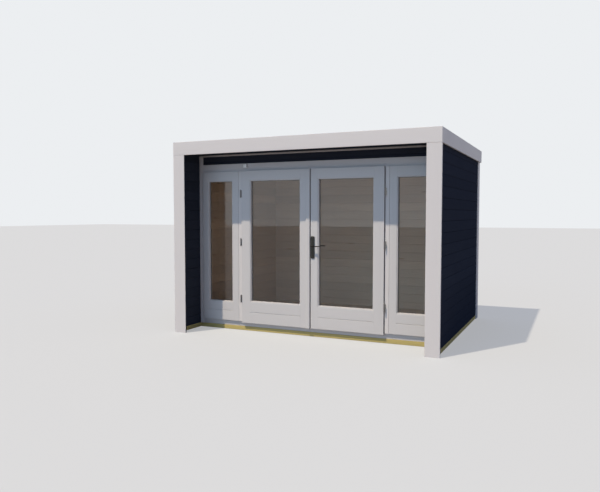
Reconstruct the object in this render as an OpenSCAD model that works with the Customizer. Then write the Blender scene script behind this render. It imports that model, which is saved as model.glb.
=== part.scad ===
// Garden office pod with a deep white frame, board walls and a glazed front.
// Millimetres. X runs to the right, Y runs from the front to the back, Z is up.
// The origin lies on the ground under the middle of the pod.

/* [Overall] */
// Depth from the front fascia to the back fascia
pod_d = 2600; // [2100:10:3400]
// Width of the door opening
door_w = 1758; // [1500:2:1900]
// Height of the door opening
door_h = 1808; // [1700:2:2000]
// Width of each window opening
window_w = 462; // [360:2:800]

/* [Cover boards] */
// Width of the front posts and of the boards at the back of the rear corners
post_w = 155; // [120:1:180]
// Thickness of posts and fascias
board_t = 20; // [14:1:28]
// Height of the fascia
fascia_h = 154; // [140:1:190]
// Width of the side boards of the rear corners
corner_w = 137; // [90:1:180]
// Thickness of those side boards
corner_t = 10; // [8:1:24]

/* [Walls] */
// Thickness of the wall boards
wall_t = 44; // [34:1:60]
// Height of one wall board
board_h = 120; // [90:1:150]
// Height of the lowest wall board up to its first joint
first_board = 107; // [60:1:130]
// Depth of the groove where two boards meet
board_groove = 4; // [2:0.5:6]
// How far the side walls stand behind the outer edge of the posts
side_inset = 30; // [24:1:60]

/* [Foundation and floor] */
// Height of the foundation beams
beam_h = 50; // [40:1:80]
// Width of the foundation beams
beam_w = 48; // [40:1:70]
// How far the beams stand behind the wall face
beam_set = 0; // [0:1:20]
// How far the front beam reaches out in front of the sill
beam_lead = 3; // [2:1:24]
// Thickness of the floor boards
floor_t = 19; // [14:1:28]
// Gap between the floor and the walls around it
floor_gap = 4; // [2:1:10]
// Width of one floor board
floor_board = 96; // [70:1:140]
// Width of a floor joist
joist_w = 48; // [36:1:70]
// Number of floor joists
joist_n = 6; // [4:1:8]

/* [Roof] */
// Thickness of the roof deck
deck_t = 18; // [12:1:24]
// Width of one board of the deck
deck_board = 96; // [70:1:140]
// Depth of the grooves between the boards of the floor, the deck and the soffit
lay_groove = 3; // [1:0.5:5]
// Gap that seats the deck on the timber below it
deck_seat = 0.2; // [0.1:0.1:0.3]
// Thickness of the roof covering
cover_t = 3; // [2:0.5:6]
// Layer of adhesive between the deck and the covering
cover_seat = 0.2; // [0.1:0.1:0.3]
// Fall of the roof from the front to the back
roof_fall = 25; // [10:1:40]
// Height of the fascia above the roof covering at the front
upstand = 28; // [16:1:40]
// How far the turned-up edge of the covering ends below the top of the fascia
turn_down = 6; // [3:1:10]
// Width of a roof purlin
purlin_w = 44; // [36:1:60]
// Height of a roof purlin inside the room
purlin_h = 95; // [70:1:120]
// Number of roof purlins inside the room
purlin_n = 4; // [3:1:6]
// Height of the header boards that shows between the frame and the soffit
header_show = 119; // [80:1:160]
// Thickness of the soffit boards
soffit_t = 12; // [9:1:20]
// Width of one soffit board
soffit_board = 110; // [70:1:150]
// Height of the soffit above the lower edge of the fascia
soffit_rise = 32; // [10:1:38]
// Height of the batten below the soffit
batten_h = 21; // [12:1:30]
// Depth of that batten
batten_t = 22; // [12:1:30]

/* [Glazed front] */
// Depth of the recess, from the fascia to the door frame
recess = 448; // [300:2:700]
// Depth of the door frame timber
frame_t = 60; // [56:1:80]
// How far the header boards stand behind the frame face
header_set = 14; // [4:1:16]
// Height of the sill
sill_h = 75; // [60:1:90]
// Height of the frame head
head_h = 111; // [100:1:140]
// Height of the casing board along the top of the frame
casing_h = 58; // [50:1:74]
// Thickness of that casing board
casing_t = 4; // [3:1:12]
// Width of the posts between doors and windows
mullion_w = 91; // [80:1:110]
// Width of the outer frame posts
jamb_w = 96; // [86:1:110]
// Width of the corner strips in the recess
strip_w = 53; // [30:1:60]
// Thickness of the corner strips
strip_t = 10; // [6:1:18]

/* [Windows] */
// Thickness of the window sash in front of the frame
sash_t = 26; // [20:1:34]
// Thickness of the sash inside the frame
sash_plug = 24; // [20:1:30]
// Gap between the sash and the frame around it
sash_fit = 1; // [0.5:0.5:3]
// How far the sash covers the door post and the frame head
sash_lap = 18; // [12:1:24]
// How far the sash covers the outer frame post
sash_reach = 33; // [18:1:36]
// How far the sash covers the sill
sash_drop = 12; // [6:1:20]
// Width of the sash stile beside the doors
sash_stile = 84; // [70:1:110]
// Width of the outer sash stile
sash_outer = 75; // [60:1:100]
// Height of the sash top rail
sash_top = 110; // [90:1:150]
// Height of the sash bottom rail
sash_foot = 227; // [180:1:300]
// Joint between the sash and the cover board of the post
cover_joint = 1.5; // [1:0.5:4]

/* [Door leaves] */
// Thickness of a door leaf in front of the frame
leaf_t = 40; // [34:1:48]
// Thickness of a door leaf inside the frame
leaf_plug = 18; // [12:1:24]
// Running gap between the leaves and the frame face
run_gap = 5; // [5:0.5:8]
// Running gap between the inner part of the leaves and the frame around it
plug_gap = 6; // [5:0.5:10]
// How far the leaves cover the frame at the sides and the top
leaf_lap = 19; // [14:1:22]
// How far the leaves cover the sill
leaf_drop = 25; // [14:1:36]
// Gap between the two leaves
meet_gap = 9; // [8:0.5:14]
// How far the meeting gap lies to the right of the middle
meet_shift = 17.5; // [0:0.5:20]
// Width of the outer door stiles
leaf_stile = 116; // [90:1:140]
// Width of the meeting stiles, measured from the middle of the pod
leaf_meet = 110; // [100:1:140]
// Height of the door top rail
leaf_top = 112; // [90:1:150]
// Height of the door bottom rail
leaf_foot = 261; // [200:1:340]
// Width of the cover strip on the left leaf
astragal_w = 48; // [30:1:60]
// Thickness of that strip
astragal_t = 14; // [8:1:20]
// Height above the sill of the joint between the boards of the bottom rails
rail_joint = 110; // [60:1:150]
// Depth of the groove at that joint
rail_groove = 3; // [1:0.5:5]

/* [Glazing] */
// Thickness of the glass units
glass_t = 14; // [8:1:16]
// How far the glass lies behind the face of its leaf or sash
glass_set = 28; // [24:1:32]
// Width of the glazing beads at the glass
bead_w = 13; // [10:1:20]
// Width of the glazing beads at their free edge
bead_nose = 10; // [3:0.5:10]
// How far the outer beads lie behind the face of their leaf or sash
bead_back = 6; // [2:1:20]
// How far the inner beads lie behind the inner face
bead_face = 1; // [0.5:0.5:3]

/* [Hinges] */
// Height of a hinge
hinge_h = 88; // [70:1:110]
// Radius of the hinge knuckle
knuckle_r = 6.5; // [5:0.5:7]
// Radius of the hinge pin
pin_r = 3; // [2:0.5:4]
// Play round the pin
pin_gap = 0.3; // [0.2:0.1:0.5]
// Play between the parts of a knuckle
knuckle_gap = 1; // [0.5:0.5:2]
// Thickness of the hinge plates
plate_t = 2.5; // [2:0.5:2.5]
// Width of the hinge plate on the cover board
plate_w = 15; // [12:1:34]
// Gap between a leaf and the cover board beside it
hinge_gap = 7.5; // [7.5:0.5:9]
// How far the hinge pin stands in front of the leaf
hinge_fore = 9.5; // [9:0.5:12]
// Middle of the low hinge above the foot of the leaf
hinge_low = 296; // [200:1:400]
// Middle of the middle hinge above the foot of the leaf
hinge_mid = 990; // [800:1:1100]
// Middle of the top hinge below the top of the leaf
hinge_top = 276; // [150:1:400]

/* [Handle] */
// Height of the lever above the foot of the leaf
lever_z = 961; // [850:1:1050]
// Distance of the lever pivot from the leaf edge
backset = 27; // [26:1:60]
// Length of the lever
lever_l = 112; // [90:1:130]
// Thickness of the lever bar from front to back
lever_t = 20; // [10:1:22]
// Height of the lever bar
lever_h = 12; // [10:1:16]
// Gap between the handle plate and the lever bar
lever_out = 35; // [24:1:45]
// Radius of the lever neck
neck_r = 8; // [8:0.5:9]
// Play round the lever neck
neck_gap = 1; // [0.5:0.5:2]
// Width of the handle plate
grip_w = 44; // [38:1:48]
// Height of the handle plate
grip_h = 258; // [200:2:290]
// Height of the plate above the lever pivot
grip_up = 114; // [90:1:130]
// Thickness of the handle plate
grip_t = 10; // [5:0.5:12]
// Corner radius of the handle plate
grip_r = 12; // [6:1:18]

/* [Small light block] */
// Width and height of the block on the casing
block_w = 45; // [36:1:52]
// Depth of the block
block_t = 30; // [15:1:40]
// Distance of the block from the middle of the pod
block_x = 857; // [500:1:1100]
// Middle of the block below the top of the casing
block_drop = 32; // [26:1:34]
// Corner radius of the block
block_r = 5; // [2:1:12]

/* [Hidden] */
$fn = 24;
// widths, from the middle outwards
door_x = door_w / 2;
mull_x = door_x + mullion_w;
jamb_x = mull_x + window_w;
wall_in = jamb_x + jamb_w;
wall_out = wall_in + wall_t;
half_w = wall_out + side_inset;
beam_out = wall_out - beam_set;
beam_in = beam_out - beam_w;
strip_x = wall_in - strip_w;
deck_x = half_w - board_t;
corner_x = wall_out + corner_t;
// depths
front = -pod_d / 2;
back_face = pod_d - board_t;
header_d = recess + header_set;
beam_d = recess - beam_lead;
back_beam_d = back_face - beam_set - beam_w;
// heights, from the ground up
sill_z = beam_h + sill_h;
head_z = sill_z + door_h;
frame_z = head_z + head_h;
soffit_z = frame_z + header_show;
fascia_z = soffit_z - soffit_rise;
pod_h = fascia_z + fascia_h;
deck_z = pod_h - upstand - cover_t - cover_seat - deck_t;
sheet_z = deck_t + cover_seat;
slope = roof_fall / (back_face - board_t);
joint_z = sill_z + rail_joint;
// window sash
sash_x0 = mull_x - sash_lap;
sash_x1 = jamb_x + sash_reach;
sash_z0 = sill_z - sash_drop;
sash_z1 = head_z + sash_lap;
sash_d = recess - sash_t;
sash_inner = recess + sash_plug;
pane_x0 = sash_x0 + sash_stile;
pane_x1 = sash_x1 - sash_outer;
pane_z0 = sash_z0 + sash_foot;
pane_z1 = sash_z1 - sash_top;
// door leaves
leaf_x = door_x + leaf_lap;
leaf_z0 = sill_z - leaf_drop;
leaf_z1 = head_z + leaf_lap;
leaf_back = recess - run_gap;
leaf_d = leaf_back - leaf_t;
leaf_inner = leaf_back + leaf_plug;
plug_x = door_x - plug_gap;
plug_z0 = sill_z + plug_gap;
plug_z1 = head_z - plug_gap;
edge_l = meet_shift - meet_gap / 2;
edge_r = meet_shift + meet_gap / 2;
glass_x = leaf_x - leaf_stile;
glass_z0 = leaf_z0 + leaf_foot;
glass_z1 = leaf_z1 - leaf_top;
// hinges
hinge_x = leaf_x + hinge_gap;
hinge_d = leaf_d - hinge_fore;
hinge_zs = [leaf_z0 + hinge_low, leaf_z0 + hinge_mid, leaf_z1 - hinge_top];
third = hinge_h / 3;
half_gap = knuckle_gap / 2;
// handle
pivot_x = edge_r + backset;
pivot_z = leaf_z0 + lever_z;
grip_z0 = pivot_z + grip_up - grip_h;
// how far a cutting shape runs past the face that it cuts
past = 1;

// Height of the underside of the deck at a depth behind the front fascia
function roof_z(d) = deck_z - slope * (d - board_t);

// Box between two corners, with depths counted from the front fascia
module bx(x0, x1, d0, d1, z0, z1) {
    translate([x0, front + d0, z0]) cube([x1 - x0, d1 - d0, z1 - z0]);
}

// The same box on both sides of the pod
module both(x0, x1, d0, d1, z0, z1) {
    bx(x0, x1, d0, d1, z0, z1);
    bx(-x1, -x0, d0, d1, z0, z1);
}

// Length along X of an outline drawn in depth and height
module run_x(x0, x1, points) {
    translate([x0, front, 0])
        rotate([90, 0, 90])
            linear_extrude(height = x1 - x0) polygon(points);
}

// Length along Y of an outline drawn in width and height
module run_y(d0, d1, points) {
    translate([0, front + d1, 0])
        rotate([90, 0, 0])
            linear_extrude(height = d1 - d0) polygon(points);
}

// Piece whose top lies under the sloping deck, a small gap below it
module under_roof(x0, x1, d0, d1, z0) {
    run_x(x0, x1, [[d0, z0], [d1, z0], [d1, roof_z(d1) - deck_seat], [d0, roof_z(d0) - deck_seat]]);
}

// Sheet that lies on the roof between two lifts
module on_roof(x0, x1, d0, d1, low, high) {
    run_x(x0, x1, [[d0, roof_z(d0) + low], [d1, roof_z(d1) + low],
        [d1, roof_z(d1) + high], [d0, roof_z(d0) + high]]);
}

// Heights at which two wall boards meet, between the ground beams and the fascia
board_joints = [for (z = [beam_h + first_board : board_h : fascia_z]) z];

// Outline of stacked wall boards with the outer face at a: a V on both faces at each joint
function stacked_boards(a, joints, z0, z1) =
    let (g = board_groove, b = a + wall_t, n = len(joints))
    concat([[a, z0]],
        [for (z = joints) each [[a, z - g], [a + g, z], [a, z + g]]],
        [[a, z1], [b, z1]],
        [for (i = [n - 1 : -1 : 0]) let (z = joints[i]) each [[b, z + g], [b - g, z], [b, z - g]]],
        [[b, z0]]);

// Places between a and b at which two boards of width w meet
function laid_joints(a, b, w) = [for (x = [a + w : w : b - w / 4]) x];

// Outline of boards of width w laid side by side from a to b, with a V at each joint in the
// face, which looks up, or down where the other face lies higher
function laid_boards(a, b, w, face, other) =
    let (g = lay_groove, up = face > other ? 1 : -1)
    concat([[a, other], [a, face]],
        [for (x = laid_joints(a, b, w)) each [[x - g, face], [x, face - up * g], [x + g, face]]],
        [[b, face], [b, other]]);

// Wall of boards from side to side, cut off under the deck
module cross_wall(d0, z0, joints) {
    intersection() {
        run_x(-wall_in, wall_in, stacked_boards(d0, joints, z0, pod_h));
        under_roof(-wall_in, wall_in, d0, d0 + wall_t, z0);
    }
}

// Wall of boards from front to back, cut off under the deck
module side_wall(x0) {
    intersection() {
        run_y(board_t, back_face, stacked_boards(x0, board_joints, beam_h, pod_h));
        under_roof(x0, x0 + wall_t, board_t, back_face, beam_h);
    }
}

// Upright cylinder at a place in plan
module post_rod(x, d, z0, z1, r) {
    translate([x, front + d, z0]) cylinder(h = z1 - z0, r = r);
}

// Cylinder that lies from front to back
module cross_rod(x, z, d0, d1, r) {
    translate([x, front + d0, z]) rotate([-90, 0, 0]) cylinder(h = d1 - d0, r = r);
}

// Plate with round corners
module round_plate(x0, x1, d0, d1, z0, z1, r) {
    bx(x0 + r, x1 - r, d0, d1, z0, z1);
    bx(x0, x1, d0, d1, z0 + r, z1 - r);
    for (x = [x0 + r, x1 - r], z = [z0 + r, z1 - r]) cross_rod(x, z, d0, d1, r);
}

module foundation_sides() {
    color("darkkhaki") both(beam_in, beam_out, board_t, back_face, 0, beam_h);
}

module foundation_front() {
    color("darkkhaki") bx(-beam_in, beam_in, beam_d, beam_d + beam_w, 0, beam_h);
}

module foundation_back() {
    color("darkkhaki") bx(-beam_in, beam_in, back_beam_d, back_beam_d + beam_w, 0, beam_h);
}

module floor_joists() {
    first = beam_d + beam_w;
    step = (back_beam_d - first - joist_w) / (joist_n - 1);
    color("darkkhaki")
        for (i = [0 : joist_n - 1])
            bx(-beam_in, beam_in, first + i * step, first + i * step + joist_w, 0, beam_h);
}

// Boards on the joists from front to back, one solid with a groove at each joint
module floor_boards() {
    side = wall_in - floor_gap;
    color("burlywood")
        run_y(recess + frame_t + floor_gap, back_face - wall_t - floor_gap,
            laid_boards(-side, side, floor_board, beam_h + floor_t, beam_h));
}

module left_wall() {
    color("midnightblue") side_wall(-wall_out);
}

module right_wall() {
    color("midnightblue") side_wall(wall_in);
}

module back_wall() {
    color("midnightblue") cross_wall(back_face - wall_t, beam_h, board_joints);
}

module front_header() {
    color("midnightblue")
        cross_wall(header_d, frame_z,
            [for (z = board_joints) if (z > frame_z + 2 * board_groove) z]);
}

module roof_purlins() {
    low = soffit_z + soffit_t;
    mid = header_d / 2;
    inner0 = header_d + wall_t;
    inner1 = back_face - wall_t;
    step = (inner1 - inner0) / (purlin_n + 1);
    color("burlywood") {
        under_roof(-wall_in, wall_in, board_t, board_t + purlin_w, low);
        under_roof(-wall_in, wall_in, mid, mid + purlin_w, low);
        for (i = [1 : purlin_n]) {
            d = inner0 + i * step - purlin_w / 2;
            under_roof(-wall_in, wall_in, d, d + purlin_w, roof_z(d) - purlin_h);
        }
    }
}

// V-shaped cut along the slope of the roof into the underside of the deck
module deck_cut(x) {
    reach = lay_groove + past;
    translate([x, front + board_t, deck_z])
        rotate([90 - atan(slope), 0, 0])
            translate([0, 0, -pod_d])
                linear_extrude(height = pod_d + board_t)
                    polygon([[-reach, -past], [0, lay_groove], [reach, -past]]);
}

// Boards from front to back, one solid with a groove at each joint in the underside
module roof_deck() {
    color("burlywood")
        difference() {
            on_roof(-deck_x, deck_x, board_t, back_face, 0, deck_t);
            for (x = laid_joints(-deck_x, deck_x, deck_board)) deck_cut(x);
        }
}

// Part of the covering that is turned up against a side fascia
module turned_edge(x0) {
    run_x(x0, x0 + cover_t, [[board_t, roof_z(board_t) + sheet_z],
        [pod_d, roof_z(pod_d) + sheet_z],
        [pod_d, pod_h - turn_down], [board_t, pod_h - turn_down]]);
}

// Sheet on the deck, turned up at the front and the sides and run over the back fascia
module roof_covering() {
    color("dimgray") {
        on_roof(-deck_x, deck_x, board_t, pod_d, sheet_z, sheet_z + cover_t);
        bx(-deck_x, deck_x, board_t, board_t + cover_t, roof_z(board_t) + sheet_z,
            pod_h - turn_down);
        turned_edge(-deck_x);
        turned_edge(deck_x - cover_t);
    }
}

// Boards from side to side, one solid with a groove at each joint in the underside
module soffit() {
    color("midnightblue")
        run_x(-wall_in, wall_in,
            laid_boards(board_t, header_d, soffit_board, soffit_z, soffit_z + soffit_t));
}

module soffit_batten() {
    color("gainsboro")
        bx(-wall_in, wall_in, header_d - batten_t, header_d, soffit_z - batten_h, soffit_z);
}

module front_fascia() {
    color("gainsboro") bx(-half_w, half_w, 0, board_t, fascia_z, pod_h);
}

module side_fascias() {
    color("gainsboro") both(deck_x, half_w, board_t, pod_d, fascia_z, pod_h);
}

module back_fascia() {
    color("gainsboro")
        bx(-deck_x, deck_x, back_face, pod_d, fascia_z, roof_z(pod_d) + deck_t);
}

module front_posts() {
    color("gainsboro") both(half_w - post_w, half_w, 0, board_t, 0, fascia_z);
}

// Corner boards of two leaves: one on the back wall, one on the side wall
module back_posts() {
    color("gainsboro") {
        both(half_w - post_w, corner_x, back_face, pod_d, 0, fascia_z);
        both(wall_out, corner_x, pod_d - corner_w, back_face, 0, fascia_z);
    }
}

module frame_sill() {
    color("gainsboro") bx(-wall_in, wall_in, recess, recess + frame_t, beam_h, sill_z);
}

module frame_head() {
    color("gainsboro") bx(-wall_in, wall_in, recess, recess + frame_t, head_z, frame_z);
}

module head_casing() {
    color("gainsboro")
        bx(-strip_x, strip_x, recess - casing_t, recess, frame_z - casing_h, frame_z);
}

module frame_mullions() {
    color("gainsboro") both(door_x, mull_x, recess, recess + frame_t, sill_z, head_z);
}

module frame_jambs() {
    color("gainsboro") both(jamb_x, wall_in, recess, recess + frame_t, sill_z, head_z);
}

// Boards on the posts between doors and windows, level with the window sashes
module mullion_covers() {
    color("gainsboro") both(hinge_x, sash_x0 - cover_joint, sash_d, recess, sash_z0, sash_z1);
}

module corner_strips() {
    color("gainsboro")
        both(strip_x, wall_in, recess - strip_t, recess, beam_h, soffit_z - batten_h);
}

// V-shaped cut along X into a face, pointing to the back or, with a side of -1, to the front
module rail_cut(x0, x1, face_d, side) {
    reach = rail_groove + past;
    run_x(x0, x1, [[face_d - side * past, joint_z - reach], [face_d + side * rail_groove, joint_z],
        [face_d - side * past, joint_z + reach]]);
}

// Box over the corners [x0, x1, z0, z1] between two depths
module slab(c, d0, d1) {
    bx(c[0], c[1], d0, d1, c[2], c[3]);
}

// Glazed panel: a lap in front of the frame, a plug inside it, a hole for the glass
// and a bottom rail of two boards
module rebated_panel(lap, plug, hole, d0, d1, d2) {
    difference() {
        union() {
            slab(lap, d0, d1);
            slab(plug, d0 + past, d2);
        }
        slab(hole, d0 - past, d2 + past);
        rail_cut(hole[0], hole[1], d0, 1);
        rail_cut(hole[0], hole[1], d2, -1);
    }
}

// Opening of a bead that is w0 wide at depth d0 and w1 wide at depth d1
module bead_opening(c, d0, d1, w0, w1) {
    rise = past * (w1 - w0) / (d1 - d0);
    a = w0 - rise;
    b = w1 + rise;
    intersection() {
        translate([0, front, c[2]])
            linear_extrude(height = c[3] - c[2])
                polygon([[c[0] + a, d0 - past], [c[1] - a, d0 - past],
                    [c[1] - b, d1 + past], [c[0] + b, d1 + past]]);
        run_x(c[0], c[1], [[d0 - past, c[2] + a], [d0 - past, c[3] - a],
            [d1 + past, c[3] - b], [d1 + past, c[2] + b]]);
    }
}

// Bevelled bead round the hole c, with mitred corners
module bead(c, d0, d1, w0, w1) {
    difference() {
        slab(c, d0, d1);
        bead_opening(c, d0, d1, w0, w1);
    }
}

// Beads in front of the glass and behind it, in a panel from depth d0 to depth d2
module bead_pair(c, d0, d2) {
    pane_d = d0 + glass_set;
    bead(c, d0 + bead_back, pane_d, bead_nose, bead_w);
    bead(c, pane_d + glass_t, d2 - bead_face, bead_w, bead_nose);
}

module sash(x0, x1, plug_x0, plug_x1, hole_x0, hole_x1) {
    color("gainsboro")
        rebated_panel([x0, x1, sash_z0, sash_z1],
            [plug_x0, plug_x1, sill_z + sash_fit, head_z - sash_fit],
            [hole_x0, hole_x1, pane_z0, pane_z1], sash_d, recess, sash_inner);
}

module left_window_sash() {
    sash(-sash_x1, -sash_x0, -jamb_x + sash_fit, -mull_x - sash_fit, -pane_x1, -pane_x0);
}

module right_window_sash() {
    sash(sash_x0, sash_x1, mull_x + sash_fit, jamb_x - sash_fit, pane_x0, pane_x1);
}

module window_glass() {
    d0 = sash_d + glass_set;
    color("lightblue", 0.5) both(pane_x0, pane_x1, d0, d0 + glass_t, pane_z0, pane_z1);
}

module window_beads() {
    color("gainsboro") {
        bead_pair([pane_x0, pane_x1, pane_z0, pane_z1], sash_d, sash_inner);
        bead_pair([-pane_x1, -pane_x0, pane_z0, pane_z1], sash_d, sash_inner);
    }
}

module leaf_glass(x0, x1) {
    d0 = leaf_d + glass_set;
    color("lightblue", 0.5) bx(x0, x1, d0, d0 + glass_t, glass_z0, glass_z1);
}

module left_leaf() {
    color("whitesmoke")
        rebated_panel([-leaf_x, edge_l, leaf_z0, leaf_z1], [-plug_x, edge_l, plug_z0, plug_z1],
            [-glass_x, -leaf_meet, glass_z0, glass_z1], leaf_d, leaf_back, leaf_inner);
}

module left_leaf_glass() {
    leaf_glass(-glass_x, -leaf_meet);
}

module left_leaf_beads() {
    color("gainsboro") bead_pair([-glass_x, -leaf_meet, glass_z0, glass_z1], leaf_d, leaf_inner);
}

module meeting_strip() {
    color("whitesmoke")
        bx(edge_l - astragal_w, edge_l, leaf_d - astragal_t, leaf_d, leaf_z0, leaf_z1);
}

module right_leaf() {
    color("whitesmoke")
        difference() {
            rebated_panel([edge_r, leaf_x, leaf_z0, leaf_z1], [edge_r, plug_x, plug_z0, plug_z1],
                [leaf_meet, glass_x, glass_z0, glass_z1], leaf_d, leaf_back, leaf_inner);
            cross_rod(pivot_x, pivot_z, leaf_d - past, leaf_inner + past, neck_r + neck_gap);
        }
}

module right_leaf_glass() {
    leaf_glass(leaf_meet, glass_x);
}

module right_leaf_beads() {
    color("gainsboro") bead_pair([leaf_meet, glass_x, glass_z0, glass_z1], leaf_d, leaf_inner);
}

// Handle plate on the outer or the inner face of the leaf, with the bore for the lever neck
module handle_plate(d0) {
    difference() {
        round_plate(pivot_x - grip_w / 2, pivot_x + grip_w / 2, d0, d0 + grip_t,
            grip_z0, grip_z0 + grip_h, grip_r);
        cross_rod(pivot_x, pivot_z, d0 - past, d0 + grip_t + past, neck_r + neck_gap);
    }
}

module handle_plates() {
    color("dimgray") {
        handle_plate(leaf_d - grip_t);
        handle_plate(leaf_inner);
    }
}

// Lever bar from the pivot to the right, round at both ends
module lever_bar(d0) {
    r = lever_h / 2;
    bx(pivot_x, pivot_x + lever_l - r, d0, d0 + lever_t, pivot_z - r, pivot_z + r);
    cross_rod(pivot_x + lever_l - r, pivot_z, d0, d0 + lever_t, r);
}

module lever_handle() {
    d0 = leaf_d - grip_t - lever_out - lever_t;
    d1 = leaf_inner + grip_t + lever_out;
    color("dimgray") {
        lever_bar(d0);
        lever_bar(d1);
        cross_rod(pivot_x, pivot_z, d0, d1 + lever_t, neck_r);
    }
}

// Fixed half of a hinge on the right: two knuckles, the pin and an angle plate
module fixed_hinge(z) {
    z0 = z - hinge_h / 2;
    low = z0 + third - half_gap;
    high = z0 + 2 * third + half_gap;
    post_rod(hinge_x, hinge_d, z0, low, knuckle_r);
    post_rod(hinge_x, hinge_d, high, z0 + hinge_h, knuckle_r);
    post_rod(hinge_x, hinge_d, z0, z0 + hinge_h, pin_r);
    difference() {
        bx(hinge_x, hinge_x + plate_t, hinge_d, sash_d, z0, z0 + hinge_h);
        post_rod(hinge_x, hinge_d, low, high, knuckle_r + knuckle_gap);
    }
    bx(hinge_x, hinge_x + plate_w, sash_d - plate_t, sash_d, z0, z0 + hinge_h);
}

module frame_hinges() {
    color("silver")
        for (z = hinge_zs) {
            fixed_hinge(z);
            mirror([1, 0, 0]) fixed_hinge(z);
        }
}

// Moving half of a hinge on the right: one knuckle and a plate on the leaf edge
module moving_hinge(z) {
    z0 = z - hinge_h / 2 + third + half_gap;
    z1 = z - hinge_h / 2 + 2 * third - half_gap;
    plate_d = hinge_d + knuckle_r - plate_t;
    difference() {
        union() {
            post_rod(hinge_x, hinge_d, z0, z1, knuckle_r);
            bx(leaf_x, hinge_x, plate_d, plate_d + plate_t, z0, z1);
            bx(leaf_x, leaf_x + plate_t, plate_d, leaf_back, z0, z1);
        }
        post_rod(hinge_x, hinge_d, z0 - past, z1 + past, pin_r + pin_gap);
    }
}

module right_leaf_hinges() {
    color("silver") for (z = hinge_zs) moving_hinge(z);
}

module left_leaf_hinges() {
    color("silver") for (z = hinge_zs) mirror([1, 0, 0]) moving_hinge(z);
}

// Block on the casing, above the left end of the doors
module head_block() {
    mid_z = frame_z - block_drop;
    color("white")
        round_plate(-block_x - block_w / 2, -block_x + block_w / 2,
            recess - casing_t - block_t, recess - casing_t,
            mid_z - block_w / 2, mid_z + block_w / 2, block_r);
}

foundation_sides();
foundation_front();
foundation_back();
floor_joists();
floor_boards();
left_wall();
right_wall();
back_wall();
front_header();
roof_purlins();
roof_deck();
roof_covering();
soffit();
soffit_batten();
front_fascia();
side_fascias();
back_fascia();
front_posts();
back_posts();
frame_sill();
frame_head();
head_casing();
frame_mullions();
frame_jambs();
mullion_covers();
corner_strips();
left_window_sash();
right_window_sash();
window_glass();
window_beads();
left_leaf();
left_leaf_glass();
left_leaf_beads();
meeting_strip();
right_leaf();
right_leaf_glass();
right_leaf_beads();
handle_plates();
lever_handle();
frame_hinges();
left_leaf_hinges();
right_leaf_hinges();
head_block();
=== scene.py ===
import math
import random

import bmesh
import bpy
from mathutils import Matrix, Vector


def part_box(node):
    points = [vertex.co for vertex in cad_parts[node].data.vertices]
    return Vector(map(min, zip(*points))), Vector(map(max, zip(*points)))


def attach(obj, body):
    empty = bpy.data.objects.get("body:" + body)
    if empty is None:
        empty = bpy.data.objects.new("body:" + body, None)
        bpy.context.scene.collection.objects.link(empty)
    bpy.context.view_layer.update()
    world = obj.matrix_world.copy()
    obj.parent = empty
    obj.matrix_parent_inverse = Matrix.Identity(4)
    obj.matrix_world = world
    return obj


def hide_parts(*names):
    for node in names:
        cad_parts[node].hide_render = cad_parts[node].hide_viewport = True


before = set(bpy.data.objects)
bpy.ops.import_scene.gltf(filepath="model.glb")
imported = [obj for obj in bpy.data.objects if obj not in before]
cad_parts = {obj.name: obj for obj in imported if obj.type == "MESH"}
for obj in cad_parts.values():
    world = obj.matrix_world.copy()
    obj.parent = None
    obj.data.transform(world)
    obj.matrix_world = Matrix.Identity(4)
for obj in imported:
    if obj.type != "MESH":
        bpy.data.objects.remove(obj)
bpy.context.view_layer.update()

X, Y, Z = 0, 1, 2

# Camera, worked out from the straight edges of the photograph: its place, its turn in degrees,
# its lens in millimetres and how far it sees
CAMERA_PLACE = (2.812, -7.197, 1.4265)
CAMERA_TURN = (86.97, 0.0, 24.91)
CAMERA_LENS = 35.84
CAMERA_REACH = 200.0

# Lamps: the direction in which each one shines, its power, its spread in degrees and its colour
SUN_TRAVEL = (0.615, 1.0, -1.95)
SUN_POWER = 3.76
SUN_SPREAD = 0.9
SUN_COLOUR = (1.0, 0.865, 0.68)
FILL_TRAVEL = (0.2, 1.0, -0.12)
FILL_POWER = 0.965
FILL_SPREAD = 60.0
FILL_COLOUR = (0.506, 0.787, 1.0)

# Sky and floor: the colour that lights the object, and the colour that the camera sees.
# FLOOR_SHARE is how much of the floor that the camera sees is a plain pale glow.
SKY_LIGHT = (0.224, 0.287, 0.45, 1.0)
SKY_SEEN = (0.84, 0.86, 0.88, 1.0)
FLOOR_LIGHT = (0.325, 0.314, 0.312, 1.0)
FLOOR_SEEN = (0.55, 0.57, 0.59, 1.0)
FLOOR_PALE = (0.74, 0.735, 0.73, 1.0)
FLOOR_SHARE = 0.5
FLOOR_SIZE = 120.0
FLOOR_DROP = 0.0005

# Each part of a piece is cut from a log at its own place: how far along the log at most, how
# far to a side of its middle at most, and how far from its middle at least and at most
LOG_LENGTH = 40.0
LOG_SIDE = 0.05
LOG_NEAR = 0.03
LOG_FAR = 0.10

# Bevels, from rough beams down to the cross of a screw, the angle in degrees above which an
# edge is shaded as sharp, and the least radius of a plate's corner
ROUGH_EDGE = 0.003
SOFT_EDGE = 0.002
TRIM_EDGE = 0.0015
FINE_EDGE = 0.001
LIP_EDGE = 0.0005
METAL_EDGE = 0.0003
CROSS_EDGE = 0.00005
SHARP_ANGLE = 55
LEAST_CORNER = 0.0002

# Meshes: how near two points are one, the digits that count in the order of solids, the sides
# of round parts and of small ones, and the steps in a plate's round corner
WELD_DISTANCE = 0.00001
ORDER_DIGITS = 4
ROUND_SIDES = 32
SMALL_SIDES = 20
CORNER_STEPS = 5

# Wall boards with tongue and groove. The tongue lies between two shares of the thickness.
WALL_BOARD = 0.120
FIRST_BOARD = 0.107
WALL_GROOVE = 0.004
BOARD_JOINT = 0.0003
TONGUE_H = 0.007
TONGUE_SHARE = (0.34, 0.66)

# Boards of the floor, the roof deck and the soffit
LAID_BOARD = 0.096
SOFFIT_BOARD = 0.110
LAID_GROOVE = 0.003
DECK_T = 0.018

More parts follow.
